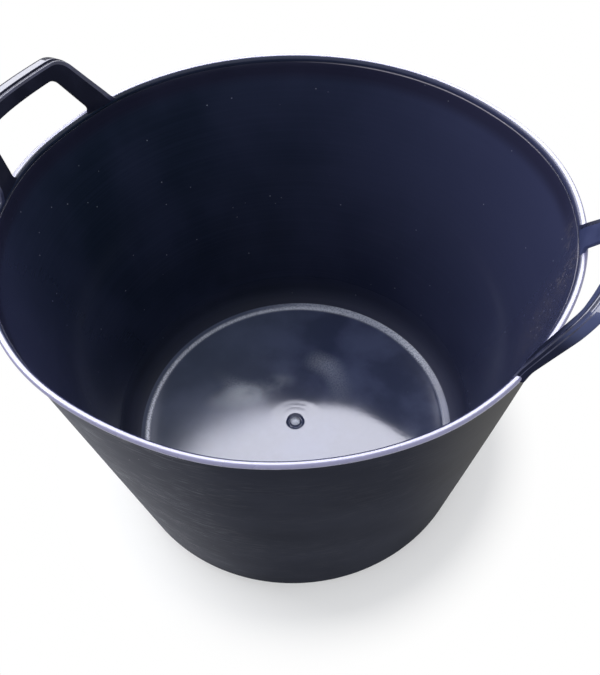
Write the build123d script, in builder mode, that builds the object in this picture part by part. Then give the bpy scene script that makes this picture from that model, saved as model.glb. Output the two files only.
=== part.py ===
# A flexible tub of about 38 litres, as moulded for farm and garden work: a tapered round wall with a
# rounded base corner, a thin rim with a bead round its outside, and two leaning loop handles that grow
# from the rim. The origin is the middle of the base on the ground, +Z is up, and the handles stand at
# +X and -X.
import os
from math import atan, cos, degrees, radians, sin, sqrt, tan

from build123d import *

# Body: radii of the wall's outside, carried on to the ground and to the rim's top
TUB_HEIGHT = 311.0
BASE_RADIUS = 180.5
RIM_RADIUS = 227.5
WALL = 3.0
FLOOR_THICKNESS = 3.2
FOOT_HEIGHT = 1.5
HEEL_EDGE_RADIUS = 4.0
CORNER_RADIUS = 24.0
CORNER_LAND = 4.0

# Mark left by the moulding gate in the middle of the floor
GATE_DISH_RADIUS = 9.8
GATE_DISH_DEPTH = 1.5
GATE_NUB_RADIUS = 5.6
GATE_NUB_HEIGHT = 1.8

# Rim: the collar is set back from the wall's inside, and the bead runs round its outside
COLLAR_HEIGHT = 5.5
LEDGE = 0.8
BEAD_DEPTH = 2.8
BEAD_HEIGHT = 4.0
BEAD_BEVEL = 1.2

# Handle plate: reaches are measured up the leaning plate from the rim, widths across it
LEAN = 32.0
BEND_RADIUS = 22.0
PLATE = 3.4
HANDLE_REACH = 51.2
HANDLE_TOP_WIDTH = 119.0
HANDLE_ROOT_WIDTH = 153.0
HANDLE_CORNER_RADIUS = 15.0
WINDOW_REACH = 38.6
WINDOW_TOP_WIDTH = 83.2
WINDOW_ROOT_WIDTH = 104.6
WINDOW_CORNER_RADIUS = 7.0
WINDOW_DIP = 1.5
PLATE_EDGE_RADIUS = 1.2

# Lip that runs level outward behind the plate's outer edge, which is what the hand carries on
LIP = 5.0
LIP_STEP = 0.5
LIP_DEPTH = 8.5
LIP_EDGE_RADIUS = 1.2
LIP_FULL_REACH = 28.0
LIP_BLEND_RADIUS = 10.0

# Straight part of the root webs above their bend
WEB_LAND = 1.0

# Spare length below the rim, which lets the edge rounds run past it before the rim cuts it off
TAIL = 40.0
TAIL_CORNER_RADIUS = 6.0

taper = (RIM_RADIUS - BASE_RADIUS) / TUB_HEIGHT
taper_angle = degrees(atan(taper))


def outside(z):
    return BASE_RADIUS + taper * z


def inside(z):
    return outside(z) - WALL


# The base corner's round ends at these places on the floor and up the wall
floor_top = FOOT_HEIGHT + FLOOR_THICKNESS
corner_run = CORNER_RADIUS / tan(radians(90 + taper_angle) / 2) + CORNER_LAND
floor_radius = inside(floor_top) - corner_run
heel_top = floor_top + corner_run * cos(radians(taper_angle))
collar_bottom = TUB_HEIGHT - COLLAR_HEIGHT
nub_sphere = (GATE_NUB_RADIUS**2 + GATE_NUB_HEIGHT**2) / (2 * GATE_NUB_HEIGHT)

os.makedirs("parts", exist_ok=True)

# Floor: a plain disc, raised off the ground inside the heel, with the gate's mark in its middle
with BuildPart() as floor_disc:
    with BuildSketch(Plane.XZ):
        with BuildLine():
            Polyline(
                (0, FOOT_HEIGHT),
                (floor_radius, FOOT_HEIGHT),
                (floor_radius, floor_top),
                (GATE_DISH_RADIUS, floor_top),
            )
            ThreePointArc(
                (GATE_DISH_RADIUS, floor_top),
                ((GATE_DISH_RADIUS + GATE_NUB_RADIUS) / 2, floor_top - GATE_DISH_DEPTH),
                (GATE_NUB_RADIUS, floor_top),
            )
            nub = RadiusArc((GATE_NUB_RADIUS, floor_top), (0, floor_top + GATE_NUB_HEIGHT), -nub_sphere)
            Line(nub @ 1, (0, FOOT_HEIGHT))
        make_face()
    revolve(axis=Axis.Z)
floor_disc.part.label = "floor_disc"
export_step(floor_disc.part, "parts/floor_disc.step")

# Heel: the rounded corner from floor to wall, and the flat ring that the tub stands on
heel_edge = Vector(BASE_RADIUS, 0)
inner_corner = Vector(inside(floor_top), floor_top)
with BuildPart() as heel_ring:
    with BuildSketch(Plane.XZ) as heel_section:
        with BuildLine():
            Polyline(
                (floor_radius, 0),
                heel_edge,
                (outside(heel_top), heel_top),
                (inside(heel_top), heel_top),
                inner_corner,
                (floor_radius, floor_top),
                close=True,
            )
        make_face()
        fillet(heel_section.vertices().sort_by_distance(heel_edge)[0], HEEL_EDGE_RADIUS)
        fillet(heel_section.vertices().sort_by_distance(inner_corner)[0], CORNER_RADIUS)
    revolve(axis=Axis.Z)
heel_ring.part.label = "heel_ring"
export_step(heel_ring.part, "parts/heel_ring.step")

# Wall: one tapered shell from the heel to the collar
with BuildPart() as side_wall:
    with BuildSketch(Plane.XZ):
        with BuildLine():
            Polyline(
                (outside(heel_top), heel_top),
                (outside(collar_bottom), collar_bottom),
                (inside(collar_bottom), collar_bottom),
                (inside(heel_top), heel_top),
                close=True,
            )
        make_face()
    revolve(axis=Axis.Z)
side_wall.part.label = "side_wall"
export_step(side_wall.part, "parts/side_wall.step")

# Collar: the thin top band of the wall, set back to leave a ledge round the inside
with BuildPart() as rim_collar:
    with BuildSketch(Plane.XZ):
        with BuildLine():
            Polyline(
                (outside(collar_bottom), collar_bottom),
                (outside(TUB_HEIGHT), TUB_HEIGHT),
                (inside(TUB_HEIGHT) + LEDGE, TUB_HEIGHT),
                (inside(collar_bottom) + LEDGE, collar_bottom),
                close=True,
            )
        make_face()
    revolve(axis=Axis.Z)
rim_collar.part.label = "rim_collar"
export_step(rim_collar.part, "parts/rim_collar.step")

# Bead: a band outside the collar, level with its top, with bevelled outer edges
bead_bottom = TUB_HEIGHT - BEAD_HEIGHT
bead_lower_edge = Vector(outside(bead_bottom) + BEAD_DEPTH, bead_bottom)
bead_upper_edge = Vector(outside(TUB_HEIGHT) + BEAD_DEPTH, TUB_HEIGHT)
with BuildPart() as rim_bead:
    with BuildSketch(Plane.XZ) as bead_section:
        with BuildLine():
            Polyline(
                (outside(bead_bottom), bead_bottom),
                bead_lower_edge,
                bead_upper_edge,
                (outside(TUB_HEIGHT), TUB_HEIGHT),
                close=True,
            )
        make_face()
        chamfer(bead_section.vertices().sort_by_distance(bead_lower_edge)[0], BEAD_BEVEL)
        chamfer(bead_section.vertices().sort_by_distance(bead_upper_edge)[0], BEAD_BEVEL)
    revolve(axis=Axis.Z)
rim_bead.part.label = "rim_bead"
export_step(rim_bead.part, "parts/rim_bead.step")

# Handles: the plate goes on from the collar's inside face and bends outward to its lean. Its outline and
# its window are drawn on a flat plane with that lean, which touches the rim's inside at the handle's
# middle.
face_radius = inside(TUB_HEIGHT) + LEDGE
handle_plane = Plane(
    origin=(face_radius, 0, TUB_HEIGHT),
    x_dir=(0, 1, 0),
    z_dir=(cos(radians(LEAN)), 0, -sin(radians(LEAN))),
)
rise = Vector(sin(radians(taper_angle)), cos(radians(taper_angle)))
web_top = TUB_HEIGHT + BEND_RADIUS * (sin(radians(LEAN)) - sin(radians(taper_angle))) + WEB_LAND
rim_level = Plane.XY.offset(TUB_HEIGHT)
web_level = Plane.XY.offset(web_top)

# Cuts reach this far to both sides of the drawing plane, through the whole round of the handle, and the
# strips that they trim start this far below the rim
cut_depth = HANDLE_ROOT_WIDTH / 2
strip_depth = cut_depth + TAIL


def drop(across):
    """How far a level line of the round rim falls on the flat drawing plane at this place across it."""
    return (face_radius - sqrt(face_radius**2 - across**2)) * sin(radians(LEAN))


def level(across, reach):
    """A point this far across the handle, and this far up the plate from the round rim."""
    return Vector(across, reach - drop(across))


def mirrored(point):
    return Vector(-point.X, point.Y)


def facing(faces, direction):
    """The faces that look within 45 degrees of a direction."""
    return faces.filter_by(lambda face: face.normal_at().dot(direction) > cos(radians(45)))


def border(patch):
    """The edges round a patch of faces, without the seams inside it."""
    edges = [edge for face in patch for edge in face.edges()]
    return [edge for edge in edges if sum(edge.is_same(other) for other in edges) == 1]


# Outline: a crowned top, straight legs that spread to the rim, and a tail below the rim that is cut away
with BuildSketch(handle_plane) as handle_outline:
    top = level(HANDLE_TOP_WIDTH / 2, HANDLE_REACH)
    root = level(HANDLE_ROOT_WIDTH / 2, 0)
    tail = root + (root - top).normalized() * TAIL
    with BuildLine():
        ThreePointArc(mirrored(top), (0, HANDLE_REACH), top)
        Polyline(top, tail, mirrored(tail), mirrored(top))
    make_face()
    for corner, radius in ((top, HANDLE_CORNER_RADIUS), (tail, TAIL_CORNER_RADIUS)):
        fillet(handle_outline.vertices().sort_by_distance(corner)[0], radius)
        fillet(handle_outline.vertices().sort_by_distance(mirrored(corner))[0], radius)

# Hand hole: a rounded window whose lower corners dip just below the rim's top
with BuildSketch(handle_plane) as window_outline:
    window_top = level(WINDOW_TOP_WIDTH / 2, WINDOW_REACH)
    window_root = level(WINDOW_ROOT_WIDTH / 2, 0) - Vector(0, WINDOW_DIP)
    with BuildLine():
        ThreePointArc(mirrored(window_top), (0, WINDOW_REACH), window_top)
        Polyline(window_top, window_root, mirrored(window_root), mirrored(window_top))
    make_face()
    fillet(window_outline.vertices(), WINDOW_CORNER_RADIUS)

# Lip outline: a band along the handle's outer edge that stands a step higher than the plate
with BuildSketch(handle_plane) as lip_band:
    offset(handle_outline.sketch_local, amount=LIP_STEP)
    offset(handle_outline.sketch_local, amount=LIP_STEP - LIP, mode=Mode.SUBTRACT)

# Stock for the plate and its root webs: a strip swept round the tub's axis, trimmed to the outline, with its
# front edges rounded
with BuildPart() as plate_stock:
    with BuildSketch(Plane.XZ):
        with BuildLine():
            face_edge = Vector(face_radius, TUB_HEIGHT)
            front_tail = Line(face_edge - rise * strip_depth, face_edge)
            front_bend = JernArc(face_edge, rise, BEND_RADIUS, taper_angle - LEAN)
            front = PolarLine(front_bend @ 1, HANDLE_REACH, direction=front_bend % 1)
            back_edge = face_edge + Vector(rise.Y, -rise.X) * PLATE
            back_tail = Line(back_edge - rise * strip_depth, back_edge)
            back_bend = JernArc(back_edge, rise, BEND_RADIUS - PLATE, taper_angle - LEAN)
            back = PolarLine(back_bend @ 1, HANDLE_REACH, direction=back_bend % 1)
            Line(front @ 1, back @ 1)
            Line(front_tail @ 0, back_tail @ 0)
        make_face()
    revolve(axis=Axis.Z)
    extrude(handle_outline.sketch, amount=cut_depth, both=True, mode=Mode.INTERSECT)
    extrude(window_outline.sketch, amount=cut_depth, both=True, mode=Mode.SUBTRACT)
    fillet(border(facing(plate_stock.faces(), -handle_plane.z_dir)), PLATE_EDGE_RADIUS)
    split(bisect_by=rim_level, keep=Keep.TOP)

# Stock for the lip: its sides run level outward, and it grows from the bead's outside to its full depth near
# the top of the legs
level_outward = Vector(1, 0, 0)
with BuildPart() as lip_stock:
    with BuildSketch(Plane.XZ) as lip_section:
        with BuildLine():
            seat_tail = Line(back_edge - rise * strip_depth, back_edge)
            seat_bend = JernArc(back_edge, rise, BEND_RADIUS - PLATE, taper_angle - LEAN)
            seat = PolarLine(seat_bend @ 1, HANDLE_REACH, direction=seat_bend % 1)
            full_depth = (seat @ 0) + (seat % 0) * LIP_FULL_REACH + level_outward * LIP_DEPTH
            Polyline(
                seat @ 1,
                (seat @ 1) + level_outward * LIP_DEPTH,
                full_depth,
                bead_upper_edge,
                bead_upper_edge - Vector(0, strip_depth),
                seat_tail @ 0,
            )
        make_face()
        for corner in (full_depth, bead_upper_edge):
            fillet(lip_section.vertices().sort_by_distance(corner)[0], LIP_BLEND_RADIUS)
    revolve(axis=Axis.Z)
    extrude(lip_band.sketch, amount=cut_depth, dir=level_outward, both=True, mode=Mode.INTERSECT)
    fillet(border(facing(lip_stock.faces(), handle_plane.z_dir)), LIP_EDGE_RADIUS)
    split(bisect_by=rim_level, keep=Keep.TOP)

with BuildPart() as plate:
    add(plate_stock.part)
    split(bisect_by=web_level, keep=Keep.TOP)

with BuildPart() as grip:
    add(lip_stock.part)
    split(bisect_by=web_level, keep=Keep.TOP)

with BuildPart() as webs:
    add(plate_stock.part)
    add(lip_stock.part)
    split(bisect_by=web_level, keep=Keep.BOTTOM)

# Both handles are alike, half a turn apart, and each stands on two separate webs
for side, turn, places in (("right", 0, ("front", "rear")), ("left", 180, ("rear", "front"))):
    with BuildPart() as handle_plate:
        add(plate.part, rotation=(0, 0, turn))
    handle_plate.part.label = f"{side}_handle_plate"
    export_step(handle_plate.part, f"parts/{side}_handle_plate.step")
    with BuildPart() as handle_grip:
        add(grip.part, rotation=(0, 0, turn))
    handle_grip.part.label = f"{side}_grip"
    export_step(handle_grip.part, f"parts/{side}_grip.step")
    for place, web in zip(places, webs.solids().sort_by(Axis.Y)):
        with BuildPart() as root_web:
            add(web, rotation=(0, 0, turn))
        root_web.part.label = f"{side}_{place}_root_web"
        export_step(root_web.part, f"parts/{side}_{place}_root_web.step")
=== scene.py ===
import math

import bmesh
import bpy
from mathutils import Matrix, Vector, noise


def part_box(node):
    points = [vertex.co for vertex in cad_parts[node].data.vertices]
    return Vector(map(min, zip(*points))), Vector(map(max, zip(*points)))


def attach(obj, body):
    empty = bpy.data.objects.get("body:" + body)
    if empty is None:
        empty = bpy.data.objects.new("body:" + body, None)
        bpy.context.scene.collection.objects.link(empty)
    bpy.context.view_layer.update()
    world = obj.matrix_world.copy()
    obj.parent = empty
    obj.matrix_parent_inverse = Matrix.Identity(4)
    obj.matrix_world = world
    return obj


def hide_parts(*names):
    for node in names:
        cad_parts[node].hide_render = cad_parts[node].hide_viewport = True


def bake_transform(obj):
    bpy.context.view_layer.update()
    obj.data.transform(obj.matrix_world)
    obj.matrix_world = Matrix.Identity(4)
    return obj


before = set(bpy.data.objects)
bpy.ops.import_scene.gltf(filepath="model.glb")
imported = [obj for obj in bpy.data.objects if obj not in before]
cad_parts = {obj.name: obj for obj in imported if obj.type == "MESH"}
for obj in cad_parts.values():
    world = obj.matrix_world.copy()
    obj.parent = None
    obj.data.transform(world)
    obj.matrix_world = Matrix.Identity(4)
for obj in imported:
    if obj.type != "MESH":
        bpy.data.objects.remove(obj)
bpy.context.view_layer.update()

# Tub body: the wall, the rounded base corner and the floor are one moulding in navy-black low-density
# polyethylene, thin enough to bend by hand. The mould's gate leaves a round nub in a groove in the middle of
# the floor, inside a shallow round pan, and the tub stands on a narrow ring below its corner.
rim_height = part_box("rim_collar")[1].z
collar_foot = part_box("rim_collar")[0].z
rim_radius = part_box("rim_collar")[1].x
base_radius = 0.1805
wall = 0.003
ledge = 0.0001
ledge_round = 0.0001
foot_height = 0.0015
floor_top = 0.0047
floor_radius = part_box("floor_disc")[1].x
heel_radius = 0.004
corner_radius = 0.024
nub_radius = 0.0056
nub_height = 0.0012
nub_round = 0.0020
groove_radius = 0.0070
groove_depth = 0.0019
groove_round = 0.0005
groove_edge = 0.0098
groove_edge_round = 0.0008
pan_radius = 0.0250
pan_depth = 0.00004
pan_slope = 0.002
pan_ring_radius = 0.0183
pan_ring_half_width = 0.0008
pan_ring_depth = 0.000012
round_steps = 320
row_length = 0.005
tiny = 1e-6
taper = (rim_radius - base_radius) / rim_height
taper_angle = math.atan(taper)


def outside(height):
    return base_radius + taper * height


def inside(height):
    return outside(height) - wall


def tangent_length(radius, turn):
    """How far from a corner its round begins, where the outline turns by this angle."""
    return radius * math.tan(turn / 2)


def turned(outline, rounds, closed_at_axis):
    """A shape turned about the tub's axis. Rounds give a corner's number, its run and its segments."""
    shape = bmesh.new()
    corners = [shape.verts.new((radius, 0, height)) for radius, height in outline]
    shape.faces.new(corners)
    for number, run, segments in rounds:
        bmesh.ops.bevel(
            shape, geom=[corners[number]], offset=run, offset_type="OFFSET", affect="VERTICES",
            segments=segments, profile=0.5, material=-1,
        )
    bmesh.ops.delete(shape, geom=shape.faces[:], context="FACES_ONLY")
    if closed_at_axis:
        axis_edges = [edge for edge in shape.edges if max(vert.co.x for vert in edge.verts) < tiny]
        bmesh.ops.delete(shape, geom=axis_edges, context="EDGES")
    for edge in shape.edges[:]:
        cuts = int(edge.calc_length() / row_length)
        if cuts:
            bmesh.ops.subdivide_edges(shape, edges=[edge], cuts=cuts)
    bmesh.ops.spin(
        shape, geom=shape.verts[:] + shape.edges[:], cent=(0, 0, 0), axis=(0, 0, 1), dvec=(0, 0, 0),
        angle=2 * math.pi, steps=round_steps, use_merge=True,
    )
    bmesh.ops.remove_doubles(shape, verts=shape.verts[:], dist=tiny)
    bmesh.ops.recalc_face_normals(shape, faces=shape.faces[:])
    return shape


# Each dent has the turn of its middle and its half width in degrees, and its depth at the rim.
dents = ((-10, 30, -0.0036), (37, 28, 0.0031), (-94, 24, -0.0021), (172, 16, -0.0021))
mouth_stretch = 0.0146
mouth_twist = 0.0110
mouth_growth = 1.5


def out_of_round(point):
    """A soft tub never stands quite round: its mouth is a little long, twisted and dented."""
    share = min(max(point.z, 0) / rim_height, 1) ** mouth_growth
    turn = math.atan2(point.y, point.x)
    stretch = 1 + share * (mouth_stretch * math.cos(2 * turn) + mouth_twist * math.sin(2 * turn))
    for middle, half_width, depth in dents:
        off_middle = abs(math.remainder(turn - math.radians(middle), 2 * math.pi)) / math.radians(half_width)
        stretch += share**2 * depth / rim_radius * math.cos(math.pi / 2 * min(off_middle, 1)) ** 2
    return Vector((point.x * stretch, point.y * stretch, point.z))


def finished(name, shape, materials):
    """The object made of a shape, settled out of round, smooth, with its materials."""
    for vert in shape.verts:
        vert.co = out_of_round(vert.co)
    mesh = bpy.data.meshes.new(name)
    shape.to_mesh(mesh)
    shape.free()
    mesh.shade_smooth()
    for material in materials:
        mesh.materials.append(material)
    piece = bpy.data.objects.new(name, mesh)
    bpy.context.scene.collection.objects.link(piece)
    return piece


def add_node(tree, kind, inputs=None, **settings):
    """A node with its settings, and inputs that are values or another node's output."""
    node = tree.nodes.new(kind)
    for key, value in settings.items():
        setattr(node, key, value)
    for key, value in (inputs or {}).items():
        if isinstance(value, bpy.types.NodeSocket):
            tree.links.new(value, node.inputs[key])
        else:
            node.inputs[key].default_value = value
    return node


def srgb(red, green, blue):
    """A colour written as on a screen, from 0 to 255, as linear light."""
    parts = [part / 255 for part in (red, green, blue)]
    return (*[part / 12.92 if part < 0.04045 else ((part + 0.055) / 1.055) ** 2.4 for part in parts], 1)


def new_plastic(name, gloss):
    """A plastic with its node tree, its shader and the place of each point on the object, in metres."""
    material = bpy.data.materials.new(name)
    material.use_nodes = True
    shader = material.node_tree.nodes["Principled BSDF"]
    shader.inputs["Specular IOR Level"].default_value = gloss
    shader.inputs["Specular Tint"].default_value = (0.87, 0.88, 1, 1)
    place = add_node(material.node_tree, "ShaderNodeTexCoord").outputs["Object"]
    return material, material.node_tree, shader, place


def axes(tree, place):
    return add_node(tree, "ShaderNodeSeparateXYZ", {0: place}).outputs


def grain(tree, place, lumps, detail, shift):
    """Cloudy noise from 0 to 1, with lumps of these sizes along the three axes, shifted to be its own."""
    scattered = add_node(
        tree, "ShaderNodeMapping",
        {"Vector": place, "Location": (shift, shift, shift), "Scale": [1 / size for size in lumps]},
    )
    return add_node(
        tree, "ShaderNodeTexNoise", {"Vector": scattered.outputs[0], "Scale": 1, "Detail": detail}
    ).outputs[0]


def ramp(tree, value, none, full):
    """A share that eases from 0, where the value is at none, to 1, where it is at full."""
    return add_node(
        tree, "ShaderNodeMapRange", {"Value": value, "From Min": none, "From Max": full},
        interpolation_type="SMOOTHSTEP",
    ).outputs[0]


def joined(tree, operation, first, second):
    return add_node(tree, "ShaderNodeMath", {0: first, 1: second}, operation=operation).outputs[0]


def product(tree, *shares):
    """Shares multiplied with each other."""
    result = shares[0]
    for share in shares[1:]:
        result = joined(tree, "MULTIPLY", result, share)
    return result


def band(tree, value, none, full, fading, gone):
    """A share that eases up from none to full, and down again from fading to gone."""
    return product(tree, ramp(tree, value, none, full), ramp(tree, value, gone, fading))


def between(tree, value, lowest, highest, start=0, end=1):
    """A number that goes evenly from lowest to highest while the value goes from start to end."""
    return add_node(
        tree, "ShaderNodeMapRange",
        {"Value": value, "From Min": start, "From Max": end, "To Min": lowest, "To Max": highest},
    ).outputs[0]


def tinted(tree, share, first, second):
    """A colour that goes from the first to the second by a share."""
    return add_node(tree, "ShaderNodeMix", {0: share, 6: first, 7: second}, data_type="RGBA").outputs[2]


def covered(tree, colour, share, strength, cover):
    """A colour with another one over it, where there is a share of it, at this strength at most."""
    return tinted(tree, joined(tree, "MULTIPLY", share, strength), colour, cover)


speck_softness = 0.3


def specks(tree, place, cell, radius, amount):
    """Round spots of about this radius, in this amount of the cells of a loose pattern."""
    spots = add_node(tree, "ShaderNodeTexVoronoi", {"Vector": place, "Scale": 1 / cell})
    edge = radius / cell
    near = ramp(tree, spots.outputs["Distance"], (1 + speck_softness) * edge, (1 - speck_softness) * edge)
    pick = add_node(tree, "ShaderNodeSeparateColor", {0: spots.outputs["Color"]}).outputs[0]
    return joined(tree, "MULTIPLY", near, ramp(tree, pick, 0.99 - amount, 1 - amount))


bump_height = 0.0001


def wired(tree, shader, colour, roughness, bumps, bump_strength):
    """Joins a plastic's colour, roughness and fine relief to its shader."""
    relief = add_node(
        tree, "ShaderNodeBump", {"Height": bumps, "Distance": bump_height, "Strength": bump_strength}
    )
    tree.links.new(colour, shader.inputs["Base Color"])
    tree.links.new(roughness, shader.inputs["Roughness"])
    tree.links.new(relief.outputs[0], shader.inputs["Normal"])


body_outline = [
    (0, floor_top + nub_height),
    (nub_radius / 2, floor_top + nub_height),
    (nub_radius, floor_top),
    (groove_radius, floor_top - groove_depth),
    (groove_edge, floor_top - pan_depth),
    (pan_ring_radius - pan_ring_half_width, floor_top - pan_depth),
    (pan_ring_radius, floor_top - pan_depth - pan_ring_depth),
    (pan_ring_radius + pan_ring_half_width, floor_top - pan_depth),
    (pan_radius, floor_top - pan_depth),
    (pan_radius + pan_slope, floor_top),
    (inside(floor_top), floor_top),
    (inside(collar_foot), collar_foot),
    (outside(collar_foot), collar_foot),
    (base_radius, 0),
    (floor_radius, 0),
    (floor_radius, foot_height),
    (0, foot_height),
]
body_rounds = [
    (1, nub_round, 5),
    (3, groove_round, 3),
    (4, groove_edge_round, 4),
    (10, tangent_length(corner_radius, math.pi / 2 - taper_angle), 12),
    (11, ledge_round, 3),
    (13, tangent_length(heel_radius, math.pi / 2 - taper_angle), 6),
]
body = turned(body_outline, body_rounds, True)
flat_edge = inside(floor_top) - corner_radius
flat_tolerance = 1e-5
sway_length = 0.055
sway_height = 0.00028
sway_fade = 0.03
for vert in body.verts:
    radius = vert.co.xy.length
    if abs(vert.co.z - floor_top) < flat_tolerance and pan_radius < radius < flat_edge:
        fade = min(1, (radius - pan_radius) / sway_fade, (flat_edge - radius) / sway_fade)
        vert.co.z += sway_height * fade * noise.noise(Vector((vert.co.x, vert.co.y, 0)) / sway_length)
corner_dust_height = 0.003
floor_slot = 1
outside_slot = 2
for face in body.faces:
    middle = face.calc_center_median()
    outward = Vector((middle.x, middle.y, 0))
    is_outside = face.normal.dot(outward) > tiny and outward.length > inside(middle.z)
    is_under = face.normal.z < -0.5
    if is_outside or is_under:
        face.material_index = outside_slot
    elif middle.z < floor_top + corner_dust_height:
        face.material_index = floor_slot

# Inside of the wall: navy, with painted light that makes it paler on the right and near sides and painted
# shade that makes it darker lower down, faint clouds and turned lines, dust, a painted shaded band under the
# ledge, a painted highlight along the ledge, and scuffs below the right handle.
tub_inside, tree, shader, place = new_plastic("tub_inside", gloss=0.35)
spot = axes(tree, place)
# Painted light: the wall is painted paler towards the right and near sides, as if lit more there.
near_side = joined(tree, "MAXIMUM", joined(tree, "MULTIPLY", spot["Y"], -1.6), 0)
painted_light_side = joined(tree, "ADD", spot["X"], near_side)
painted_paler = ramp(tree, painted_light_side, none=-0.25, full=0.28)
colour = tinted(tree, painted_paler, srgb(20, 29, 43), srgb(55, 59, 89))
# Painted shade: the wall is painted darker towards the floor, where less light reaches.
painted_depth_shade = ramp(tree, spot["Z"], none=0.24, full=0.02)
colour = covered(tree, colour, painted_depth_shade, strength=0.35, cover=srgb(12, 18, 34))
clouds = ramp(tree, grain(tree, place, lumps=(0.09, 0.09, 0.12), detail=3, shift=0), none=0.35, full=0.7)
colour = covered(tree, colour, clouds, strength=0.18, cover=srgb(58, 63, 94))
turned_lines = ramp(tree, grain(tree, place, lumps=(0.3, 0.3, 0.0022), detail=2, shift=6), none=0.4, full=0.7)
colour = covered(tree, colour, turned_lines, strength=0.06, cover=srgb(62, 67, 98))
dust = specks(tree, place, cell=0.015, radius=0.00055, amount=0.85)
dust_colour = srgb(150, 155, 170)
colour = covered(tree, colour, dust, strength=0.8, cover=dust_colour)
under_ledge = band(
    tree, spot["Z"], none=rim_height - 0.027, full=rim_height - 0.014,
    fading=rim_height - 0.006, gone=rim_height - 0.005,
)
off_scuffs = joined(
    tree, "MAXIMUM", ramp(tree, spot["Y"], none=0.06, full=0.12), ramp(tree, spot["X"], none=0.10, full=0)
)
shaded = product(tree, under_ledge, off_scuffs)
colour = covered(tree, colour, shaded, strength=0.55, cover=srgb(27, 23, 39))
# Painted highlight: a thin pale line along the ledge at the far and right sides, where its rounded edge would
# catch the light.
at_ledge = band(
    tree, spot["Z"], none=collar_foot - 0.0009, full=collar_foot - 0.0004,
    fading=collar_foot + 0.0002, gone=collar_foot + 0.0007,
)
far_stretch = product(
    tree, ramp(tree, spot["Y"], none=0.12, full=0.20), ramp(tree, spot["X"], none=-0.10, full=0.02)
)
right_stretch = product(
    tree, ramp(tree, spot["Y"], none=0.075, full=0.055), ramp(tree, spot["X"], none=0.17, full=0.20)
)
painted_ledge_highlight = product(tree, at_ledge, joined(tree, "MAXIMUM", far_stretch, right_stretch))
colour = covered(tree, colour, painted_ledge_highlight, strength=0.7, cover=srgb(170, 166, 178))
scuff_patch = product(
    tree, ramp(tree, spot["Y"], none=0.085, full=0.044), ramp(tree, spot["Z"], none=0.140, full=0.255)
)
scuff_strip = product(
    tree, ramp(tree, spot["Y"], none=0.105, full=0.075), ramp(tree, spot["Z"], none=0.276, full=0.292)
)
scuffed = product(
    tree,
    joined(tree, "MAXIMUM", scuff_patch, scuff_strip),
    ramp(tree, spot["Y"], none=-0.015, full=0.040),
    ramp(tree, spot["X"], none=0.165, full=0.190),
    ramp(tree, grain(tree, place, lumps=(0.03, 0.03, 0.05), detail=3, shift=8), none=0.3, full=0.6),
)
fine_spray = grain(tree, place, lumps=(0.003, 0.003, 0.006), detail=4, shift=2)
spray = product(tree, scuffed, ramp(tree, fine_spray, none=0.42, full=0.7))
colour = covered(tree, colour, spray, strength=0.5, cover=srgb(114, 109, 114))
crumbs = product(tree, scuffed, specks(tree, place, cell=0.0045, radius=0.00055, amount=0.6))
colour = covered(tree, colour, crumbs, strength=0.7, cover=srgb(178, 173, 168))
polish = between(tree, clouds, lowest=0.16, highest=0.24)
matt_corner = joined(tree, "MULTIPLY", ramp(tree, spot["Z"], none=0.045, full=0.022), 0.5)
bumps = grain(tree, place, lumps=(0.004, 0.004, 0.004), detail=2, shift=1)
wired(tree, shader, colour, joined(tree, "ADD", polish, matt_corner), bumps, bump_strength=0.12)

# Floor and corner: the same navy, smooth enough to mirror the sky, with a milky film to the left of the
# nub, a painted highlight on the nub's near side and painted shade on its far side, and dust in the corner,
# painted pale enough to stand in for the highlight of the corner's ring.
tub_floor, tree, shader, place = new_plastic("tub_floor", gloss=0.72)
spot = axes(tree, place)
smears = grain(tree, place, lumps=(0.06, 0.06, 0.06), detail=5, shift=3)
colour = tinted(tree, ramp(tree, smears, none=0.35, full=0.7), srgb(46, 54, 83), srgb(70, 78, 110))
pale_side = ramp(tree, spot["X"], none=0, full=-0.13)
colour = covered(tree, colour, pale_side, strength=0.3, cover=srgb(96, 108, 126))
film_middle = (-0.063, 0.014, floor_top)
film_turn = (0, 0, math.radians(43))
film_half_size = (0.055, 0.020, 0.02)
on_film = add_node(
    tree, "ShaderNodeMapping",
    {"Vector": place, "Location": film_middle, "Rotation": film_turn, "Scale": film_half_size},
    vector_type="TEXTURE",
).outputs[0]
from_film = add_node(tree, "ShaderNodeVectorMath", {0: on_film}, operation="LENGTH").outputs["Value"]
film = product(tree, ramp(tree, from_film, none=1.1, full=0.2), ramp(tree, smears, none=0.3, full=0.6))
colour = covered(tree, colour, film, strength=0.75, cover=srgb(168, 175, 188))
level_place = add_node(
    tree, "ShaderNodeVectorMath", {0: place, 1: (1, 1, 0)}, operation="MULTIPLY"
).outputs[0]
from_axis = add_node(tree, "ShaderNodeVectorMath", {0: level_place}, operation="LENGTH").outputs["Value"]
on_nub = ramp(tree, from_axis, none=nub_radius + 0.0002, full=nub_radius - 0.0008)
# Painted highlight and shade: the nub is painted near-white on its near side and dark on its far side.
painted_nub_highlight = ramp(tree, spot["Y"], none=0.0022, full=-0.0010)
colour = tinted(tree, on_nub, colour, tinted(tree, painted_nub_highlight, srgb(26, 28, 42), srgb(228, 230, 244)))
fine_grit = grain(tree, place, lumps=(0.0016, 0.0016, 0.0016), detail=3, shift=5)
grit = joined(tree, "ADD", 0.35, ramp(tree, fine_grit, none=0.3, full=0.7))
# Dust in the corner, painted pale enough that it also stands in for the highlight of the corner's ring.
settled_dust_and_highlight = product(
    tree,
    band(
        tree, spot["Z"], none=floor_top + 0.00005, full=floor_top + 0.0005,
        fading=floor_top + 0.0017, gone=floor_top + 0.0045,
    ),
    band(tree, spot["X"], none=-0.13, full=-0.04, fading=0.06, gone=0.14),
)
colour = covered(tree, colour, settled_dust_and_highlight, strength=grit, cover=srgb(160, 167, 186))
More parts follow.
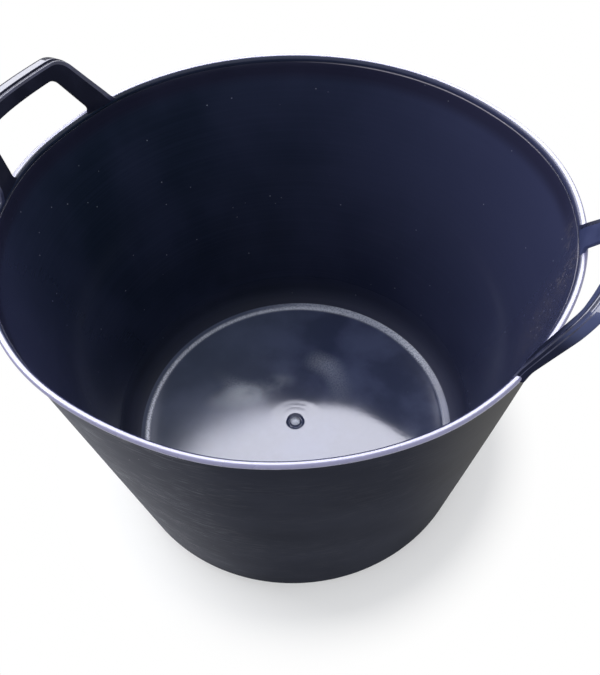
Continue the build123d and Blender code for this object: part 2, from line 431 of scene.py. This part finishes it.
# Dust caught at the left of the corner, painted pale as the ring's thin bright highlight there.
caught_dust_and_highlight = product(
    tree,
    band(
        tree, spot["Z"], none=floor_top + 0.00005, full=floor_top + 0.0003,
        fading=floor_top + 0.0005, gone=floor_top + 0.0015,
    ),
    ramp(tree, spot["X"], none=0.04, full=-0.06),
)
colour = covered(tree, colour, caught_dust_and_highlight, strength=grit, cover=srgb(196, 202, 218))
dust = specks(tree, place, cell=0.017, radius=0.00045, amount=0.85)
colour = covered(tree, colour, dust, strength=0.6, cover=dust_colour)
polish = between(tree, smears, lowest=0.07, highest=0.13, start=0.3, end=0.7)
scoured_left = joined(tree, "MULTIPLY", ramp(tree, spot["X"], none=0.02, full=-0.09), 0.10)
matt_corner = ramp(tree, spot["Z"], none=floor_top + 0.0001, full=floor_top + 0.0007)
scoured = joined(tree, "ADD", scoured_left, joined(tree, "MULTIPLY", matt_corner, 0.25))
left_corner = product(
    tree,
    ramp(tree, spot["Z"], none=floor_top + 0.0005, full=floor_top + 0.0013),
    ramp(tree, spot["X"], none=0, full=-0.08),
)
scoured = joined(tree, "ADD", scoured, joined(tree, "MULTIPLY", left_corner, 0.4))
bumps = grain(tree, place, lumps=(0.004, 0.004, 0.004), detail=2, shift=1)
wired(tree, shader, colour, joined(tree, "ADD", polish, scoured), bumps, bump_strength=0.16)

# Outside: dull navy-black, painted grey at the front left as a sheen, with short level scratches and chips
# there, and at the right a dust haze painted brighter as a sheen.
tub_outside, tree, shader, place = new_plastic("tub_outside", gloss=0.03)
spot = axes(tree, place)
clouds = ramp(tree, grain(tree, place, lumps=(0.10, 0.10, 0.06), detail=4, shift=2), none=0.3, full=0.7)
colour = tinted(tree, clouds, srgb(24, 27, 38), srgb(33, 36, 47))
# Painted sheen: the front left is painted grey where the wall mirrors the pale floor at a grazing angle; the
# same side carries real scratches and chips.
rubbed_and_sheen_side = product(
    tree, ramp(tree, spot["Y"], none=0.20, full=-0.10), ramp(tree, spot["X"], none=0.08, full=-0.12)
)
colour = covered(tree, colour, rubbed_and_sheen_side, strength=0.6, cover=srgb(116, 117, 124))
level_lines = grain(tree, place, lumps=(0.014, 0.014, 0.0010), detail=4, shift=4)
rub_lines = ramp(tree, level_lines, none=0.50, full=0.68)
rub_patch = ramp(tree, grain(tree, place, lumps=(0.06, 0.06, 0.03), detail=3, shift=7), none=0.35, full=0.66)
rubs = product(tree, rub_lines, rub_patch, joined(tree, "ADD", 0.05, rubbed_and_sheen_side))
scraped_front = joined(tree, "MULTIPLY", ramp(tree, spot["Y"], none=-0.04, full=-0.15), 0.6)
rub_strength = joined(tree, "ADD", 0.35, scraped_front)
colour = covered(tree, colour, rubs, rub_strength, cover=srgb(140, 141, 147))
chips = product(tree, specks(tree, place, cell=0.010, radius=0.0006, amount=0.5), rubbed_and_sheen_side)
colour = covered(tree, colour, chips, strength=0.6, cover=srgb(176, 178, 182))
# Dust haze at the right, painted brighter as a sheen where the wall turns away at a grazing angle.
dust_and_sheen_side = product(
    tree, ramp(tree, spot["Y"], none=0.14, full=-0.08), ramp(tree, spot["X"], none=0.155, full=0.235)
)
dust_and_sheen = product(tree, dust_and_sheen_side, joined(tree, "ADD", 0.7, joined(tree, "MULTIPLY", rub_lines, 0.12)))
colour = covered(tree, colour, dust_and_sheen, strength=0.75, cover=srgb(110, 108, 103))
polish = between(tree, rubs, lowest=0.66, highest=0.78)
bumps = grain(tree, place, lumps=(0.003, 0.003, 0.0012), detail=3, shift=1)
wired(tree, shader, colour, polish, bumps, bump_strength=0.25)

tub_body = finished("tub_body", body, [tub_inside, tub_floor, tub_outside])
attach(tub_body, "tub")
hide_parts("side_wall", "heel_ring", "floor_disc")

# Rim: the same moulding ends in a collar, set back by a narrow ledge round the inside, with a bead round its
# outside that stiffens the mouth. Both are rounded over, the top is polished by hands and loads, and it
# carries a painted highlight.
bead_depth = 0.0028
bead_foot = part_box("rim_bead")[0].z
bead_round = 0.0021
bead_foot_round = 0.0014
collar_round = 0.0031
collar_sink = 0.0006
rim_outline = [
    (inside(collar_foot - collar_sink) + ledge, collar_foot - collar_sink),
    (inside(rim_height) + ledge, rim_height),
    (outside(rim_height) + bead_depth, rim_height),
    (outside(bead_foot) + bead_depth, bead_foot),
    (outside(bead_foot), bead_foot),
    (outside(collar_foot - collar_sink), collar_foot - collar_sink),
]
rim_rounds = [(1, collar_round, 6), (2, bead_round, 7), (3, bead_foot_round, 6)]

rim_plastic, tree, shader, place = new_plastic("rim_plastic", gloss=1.0)
wear = grain(tree, place, lumps=(0.02, 0.02, 0.004), detail=5, shift=1)
colour = tinted(tree, ramp(tree, wear, none=0.35, full=0.7), srgb(34, 35, 54), srgb(60, 60, 86))
# Painted highlight: the top of the rim is painted a pale lavender where it catches the sky.
painted_top_highlight = ramp(tree, axes(tree, place)["Z"], none=rim_height - 0.0045, full=rim_height - 0.0005)
colour = covered(tree, colour, painted_top_highlight, strength=0.8, cover=srgb(128, 127, 160))
polish = between(tree, wear, lowest=0.22, highest=0.34, start=0.3, end=0.7)
bumps = grain(tree, place, lumps=(0.003, 0.003, 0.003), detail=2, shift=2)
wired(tree, shader, colour, polish, bumps, bump_strength=0.10)

rim_shape = turned(rim_outline, rim_rounds, False)
collar_slot = 1
for face in rim_shape.faces:
    middle = face.calc_center_median()
    faces_inward = face.normal.dot(Vector((middle.x, middle.y, 0)).normalized()) < -0.5
    if faces_inward:
        face.material_index = collar_slot
rim = finished("rim", rim_shape, [rim_plastic, tub_inside])
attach(rim, "tub")
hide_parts("rim_collar", "rim_bead")

# Handles: each is a flat loop that grows from the collar and bends outward. A lip runs level outward from
# its outer edge, so that the hand carries on a broad bar. They are moulded with the tub, and bend where they
# leave the rim: here the right one has been left bent in at its near leg.
bend_radius = 0.022
plate = 0.0034
plate_skin = 0.00003
reach = 0.0512
root_half = 0.0765
root_depth = 0.003
root_flare = 0.0014
root_flare_reach = 0.005
top_half = 0.0595
outer_corner = 0.015
window_reach = 0.0386
window_dip = 0.0015
window_foot = 0.95 * window_dip
window_root_half = 0.0523
window_top_half = 0.0416
window_corner = 0.007
lip = 0.005
lip_step = 0.0005
lip_depth = 0.0085
lip_root_depth = 0.0045
lip_full_reach = 0.037
# Rounds of the section's long edges, by the number of the corner in the section.
edge_rounds = ((0, 0.0010), (1, 0.0010), (3, 0.0008), (4, 0.0015), (5, 0.0015), (7, 0.0008))
leg_steps = 22
leg_crowding = 1.5
corner_steps = 8
bar_steps = 10
polished_turn = math.radians(89)
polished_sides = (2, 4)
polished_corners = (1, 3)
grip_slot = 1
face_radius = inside(rim_height) + ledge


def on_plate(point, behind, outward, lean):
    """The place of a point of the flat handle on its bent plate, moved behind the face and level outward."""
    bend_length = bend_radius * (lean - taper_angle)
    tilt = taper_angle + (lean - taper_angle) * min(max(point.y / bend_length, 0), 1)
    radius = face_radius + bend_radius * (math.cos(taper_angle) - math.cos(tilt))
    height = rim_height + bend_radius * (math.sin(tilt) - math.sin(taper_angle))
    straight = min(point.y, 0) + max(point.y - bend_length, 0)
    radius += straight * math.sin(tilt)
    height += straight * math.cos(tilt)
    turn = math.asin(point.x / radius)
    radius += behind * math.cos(tilt)
    height -= behind * math.sin(tilt)
    return Vector((radius * math.cos(turn) + outward, radius * math.sin(turn), height))


def corner_middle(half, top, radius, slope):
    """The middle of the round at a top corner, and the height at which the leg runs into it."""
    inset = (radius - radius * math.sin(slope)) / math.cos(slope)
    return Vector((half - inset, top - radius)), top - radius + radius * math.sin(slope)


outer_slope = math.atan((root_half - top_half) / reach)
window_slope = math.atan((window_root_half - window_top_half) / (window_reach + window_dip))
outer_middle, outer_leg_end = corner_middle(top_half, reach, outer_corner, outer_slope)
window_middle, window_leg_end = corner_middle(window_top_half, window_reach, window_corner, window_slope)


def loop_stations():
    """Points on the window's edge and on the outer edge, and the way out, from the root to mid-bar."""
    stations = []
    for step in range(leg_steps + 1):
        share = (step / leg_steps) ** leg_crowding
        window_up = -window_foot + share * (window_leg_end + window_foot)
        window_across = window_root_half - (window_up + window_dip) * math.tan(window_slope)
        below = max(window_corner - window_dip - window_up, 0)
        window_across -= window_corner - math.sqrt(window_corner**2 - below**2)
        outer_up = -root_depth + share * (outer_leg_end + root_depth)
        outer_across = root_half - outer_up * math.tan(outer_slope)
        outer_across += root_flare * max(1 - outer_up / root_flare_reach, 0) ** 2
        stations.append((Vector((window_across, window_up)), Vector((outer_across, outer_up)), outer_slope))
    for step in range(1, corner_steps + 1):
        share = step / corner_steps
        window_turn = window_slope + share * (math.pi / 2 - window_slope)
        outer_turn = outer_slope + share * (math.pi / 2 - outer_slope)
        stations.append((
            window_middle + Vector((math.cos(window_turn), math.sin(window_turn))) * window_corner,
            outer_middle + Vector((math.cos(outer_turn), math.sin(outer_turn))) * outer_corner,
            outer_turn,
        ))
    for step in range(1, bar_steps + 1):
        share = 1 - step / bar_steps
        stations.append((
            Vector((window_middle.x * share, window_reach)),
            Vector((outer_middle.x * share, reach)),
            math.pi / 2,
        ))
    return stations


def loop_section(window_edge, outer_edge, turn, lean):
    """The corners of the handle's section at one place round the loop."""
    out = Vector((math.copysign(math.cos(turn), outer_edge.x), math.sin(turn)))
    seat = plate / math.cos(lean)
    grown = min(max(outer_edge.y / lip_full_reach, 0), 1)
    depth = lip_root_depth + (lip_depth - lip_root_depth) * grown
    upper_edge = outer_edge + out * lip_step
    lower_edge = outer_edge + out * (lip_step - lip)
    corners = [
        (window_edge, -plate_skin, 0),
        (outer_edge, -plate_skin, 0),
        (outer_edge, plate, 0),
        (upper_edge, 0, seat),
        (upper_edge, 0, seat + depth),
        (lower_edge, 0, seat + depth),
        (lower_edge, 0, seat),
        (window_edge, plate, 0),
    ]
    return [on_plate(point, behind, outward, lean) for point, behind, outward in corners]


def handle_loop(lean, twist):
    """The loop, swept from one root to the other, with its long edges rounded."""
    half = loop_stations()
    other_half = [(Vector((-a.x, a.y)), Vector((-b.x, b.y)), turn) for a, b, turn in half[-2::-1]]
    stations = half + other_half
    turns = [turn for _, _, turn in stations]
    sections = [
        loop_section(window_edge, outer_edge, turn, lean + twist * outer_edge.x / root_half)
        for window_edge, outer_edge, turn in stations
    ]
    loop = bmesh.new()
    ring = [loop.verts.new(place) for place in sections[0]]
    loop.faces.new(ring)
    long_edges = [[] for _ in ring]
    for section, turn in zip(sections[1:], turns[1:]):
        sides = [loop.edges.get((ring[number], ring[number - 1])) for number in range(len(ring))]
        grown = bmesh.ops.extrude_edge_only(loop, edges=sides)["geom"]
        for number in polished_sides:
            face = next(face for face in sides[number].link_faces if face in grown)
            face.material_index = grip_slot if turn > polished_turn else 0
        fresh = {part for part in grown if isinstance(part, bmesh.types.BMVert)}
        for number, place in enumerate(section):
            edge = next(edge for edge in ring[number].link_edges if edge.other_vert(ring[number]) in fresh)
            ring[number] = edge.other_vert(ring[number])
            ring[number].co = place
            long_edges[number].append(edge)
    loop.faces.new(ring)
    bmesh.ops.recalc_face_normals(loop, faces=loop.faces[:])
    for number, radius in edge_rounds:
        edges = [edge for edge in long_edges[number] if edge.is_valid]
        rounded = bmesh.ops.bevel(
            loop, geom=edges, offset=radius, offset_type="OFFSET", affect="EDGES", segments=3, profile=0.5,
            material=-1, clamp_overlap=True,
        )
        for face in rounded["faces"]:
            face.material_index = grip_slot if number in polished_corners else 0
    return loop


# Plate and legs: dull navy, with painted shade that makes the left handle nearly black, painted light that
# makes the right one paler, painted shade on its near leg and a painted sheen high up on it.
handle_plastic, tree, shader, place = new_plastic("handle_plastic", gloss=0.03)
clouds = ramp(tree, grain(tree, place, lumps=(0.03, 0.03, 0.03), detail=4, shift=3), none=0.3, full=0.7)
spot = axes(tree, place)
# Painted light and shade: the left handle is a shaded dark copy and the right a lit paler copy of the same
# navy.
painted_light_on_right = ramp(tree, spot["X"], none=-0.1, full=0.1)
shaded_left_navy = tinted(tree, clouds, srgb(18, 20, 33), srgb(27, 29, 44))
lit_right_navy = tinted(tree, clouds, srgb(46, 52, 84), srgb(60, 66, 100))
# Painted shade: the lower part of the right handle's near leg is painted dark.
painted_shade_near_leg = product(
    tree, ramp(tree, spot["Y"], none=0, full=-0.06), ramp(tree, spot["Z"], none=0.366, full=0.336)
)
lit_right_navy = tinted(tree, painted_shade_near_leg, lit_right_navy, srgb(26, 29, 46))
# Painted sheen: the right handle is painted a paler blue high up, towards the bar.
painted_sheen_high = ramp(tree, spot["Z"], none=0.335, full=0.355)
lit_right_navy = covered(tree, lit_right_navy, painted_sheen_high, strength=0.2, cover=srgb(104, 114, 152))
colour = tinted(tree, painted_light_on_right, shaded_left_navy, lit_right_navy)
dust = specks(tree, place, cell=0.012, radius=0.0004, amount=0.7)
colour = covered(tree, colour, dust, strength=0.5, cover=srgb(140, 142, 160))
polish = between(tree, clouds, lowest=0.30, highest=0.40)
bumps = grain(tree, place, lumps=(0.003, 0.003, 0.003), detail=2, shift=6)
wired(tree, shader, colour, polish, bumps, bump_strength=0.10)

# Grip: the same plastic where hands have polished it, on the bar's edges and lip.
grip_plastic, tree, shader, place = new_plastic("grip_plastic", gloss=0.6)
wear = grain(tree, place, lumps=(0.02, 0.02, 0.008), detail=5, shift=4)
colour = tinted(tree, ramp(tree, wear, none=0.35, full=0.7), srgb(28, 31, 54), srgb(48, 52, 80))
polish = between(tree, wear, lowest=0.24, highest=0.36, start=0.3, end=0.7)
bumps = grain(tree, place, lumps=(0.003, 0.003, 0.003), detail=2, shift=7)
wired(tree, shader, colour, polish, bumps, bump_strength=0.10)

# Each handle has the way it faces round the tub, and the lean and the twist of its plate in degrees.
for side, facing, lean, twist in (("right", 0, 26.2, 4.8), ("left", math.pi, 32, 0)):
    loop = handle_loop(math.radians(lean), math.radians(twist))
    bmesh.ops.rotate(loop, verts=loop.verts[:], cent=(0, 0, 0), matrix=Matrix.Rotation(facing, 3, "Z"))
    handle = finished(f"{side}_handle", loop, [handle_plastic, grip_plastic])
    softened = handle.modifiers.new("softened", "SUBSURF")
    softened.levels = softened.render_levels = 1
    flat_faces = handle.modifiers.new("flat_faces", "WEIGHTED_NORMAL")
    flat_faces.weight = 100
    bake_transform(handle)
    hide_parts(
        *[f"{side}_{part}" for part in ("handle_plate", "grip", "front_root_web", "rear_root_web")]
    )

# Floor: a plain pale studio floor that shows white away from the tub and keeps its shadow.
floor_size = 8
floor_shape = bmesh.new()
bmesh.ops.create_grid(floor_shape, x_segments=1, y_segments=1, size=floor_size / 2)
floor_mesh = bpy.data.meshes.new("studio_floor")
floor_shape.to_mesh(floor_mesh)
floor_shape.free()
studio_floor = bpy.data.objects.new("studio_floor", floor_mesh)
bpy.context.scene.collection.objects.link(studio_floor)


def seen_directly(tree):
    """1 for what the camera sees, straight, mirrored or through a clear piece, and 0 for scattered light."""
    path = add_node(tree, "ShaderNodeLightPath").outputs
    mirrored = joined(tree, "MAXIMUM", path["Is Camera Ray"], path["Is Glossy Ray"])
    return joined(tree, "MAXIMUM", mirrored, path["Is Transmission Ray"])


floor_paint = bpy.data.materials.new("floor_paint")
floor_paint.use_nodes = True
tree = floor_paint.node_tree
tree.nodes.clear()
chalk = add_node(tree, "ShaderNodeBsdfDiffuse", {"Color": (0.95, 0.95, 0.95, 1)})
white = add_node(tree, "ShaderNodeEmission", {"Color": (1, 1, 1, 1), "Strength": 1})
place = add_node(tree, "ShaderNodeTexCoord").outputs["Object"]
from_tub = add_node(tree, "ShaderNodeVectorMath", {0: place}, operation="LENGTH").outputs["Value"]
least_whiteness = 0.2
whiteness = joined(tree, "MAXIMUM", least_whiteness, ramp(tree, from_tub, none=0.19, full=0.265))
share = joined(tree, "MULTIPLY", seen_directly(tree), whiteness)
paint = add_node(tree, "ShaderNodeMixShader", {0: share, 1: chalk.outputs[0], 2: white.outputs[0]})
add_node(tree, "ShaderNodeOutputMaterial", {"Surface": paint.outputs[0]})
floor_mesh.materials.append(floor_paint)

# Light: an even studio sky, a soft lamp from the far left, and two white cards far behind the tub, one high
# and one low, that only its shiny faces mirror.
sky = bpy.data.worlds.new("sky")
bpy.context.scene.world = sky
sky.use_nodes = True
tree = sky.node_tree
tree.nodes.clear()
soft_sky = add_node(tree, "ShaderNodeBackground", {"Color": (0.97, 0.98, 1, 1), "Strength": 1.1})
white_sky = add_node(tree, "ShaderNodeBackground", {"Color": (1, 1, 1, 1), "Strength": 1})
whole_sky = add_node(
    tree, "ShaderNodeMixShader", {0: seen_directly(tree), 1: soft_sky.outputs[0], 2: white_sky.outputs[0]}
)
add_node(tree, "ShaderNodeOutputWorld", {"Surface": whole_sky.outputs[0]})
view_azimuth = math.radians(118.96)


def add_lamp(name, azimuth, elevation, distance, width, depth, radiance):
    """A flat lamp that faces the tub, placed round from the way the camera looks and up from the floor."""
    turn = view_azimuth + math.radians(azimuth)
    rise = math.radians(elevation)
    way = Vector((math.cos(turn) * math.cos(rise), math.sin(turn) * math.cos(rise), math.sin(rise)))
    data = bpy.data.lights.new(name, "AREA")
    data.shape = "RECTANGLE"
    data.size = width
    data.size_y = depth
    data.energy = radiance * math.pi * width * depth
    lamp = bpy.data.objects.new(name, data)
    lamp.location = way * distance
    lamp.rotation_euler = way.to_track_quat("Z", "Y").to_euler()
    lamp.visible_camera = False
    bpy.context.scene.collection.objects.link(lamp)
    return lamp


add_lamp("left_lamp", azimuth=60, elevation=52, distance=1.8, width=1.1, depth=0.9, radiance=4.5)
high_card = add_lamp("high_card", azimuth=0, elevation=57, distance=3, width=4, depth=1.35, radiance=10)
low_card = add_lamp("low_card", azimuth=0, elevation=33, distance=3, width=4, depth=1.25, radiance=7.5)
high_card.visible_diffuse = False
low_card.visible_diffuse = False

# Camera: close above the tub's near side, looking down into it, with the handles at its left and right.
camera_place = (0.2208, -0.3991, 0.7277)
camera_turn = (38.33, 1.78, 25.49)
image_long_side = 675
focal_pixels = 774.2
camera_data = bpy.data.cameras.new("camera")
camera_data.sensor_width = 36
camera_data.lens = camera_data.sensor_width * focal_pixels / image_long_side
camera = bpy.data.objects.new("camera", camera_data)
camera.location = camera_place
camera.rotation_euler = [math.radians(turn) for turn in camera_turn]
bpy.context.scene.collection.objects.link(camera)
bpy.context.scene.camera = camera
bpy.context.scene.view_settings.view_transform = "Standard"
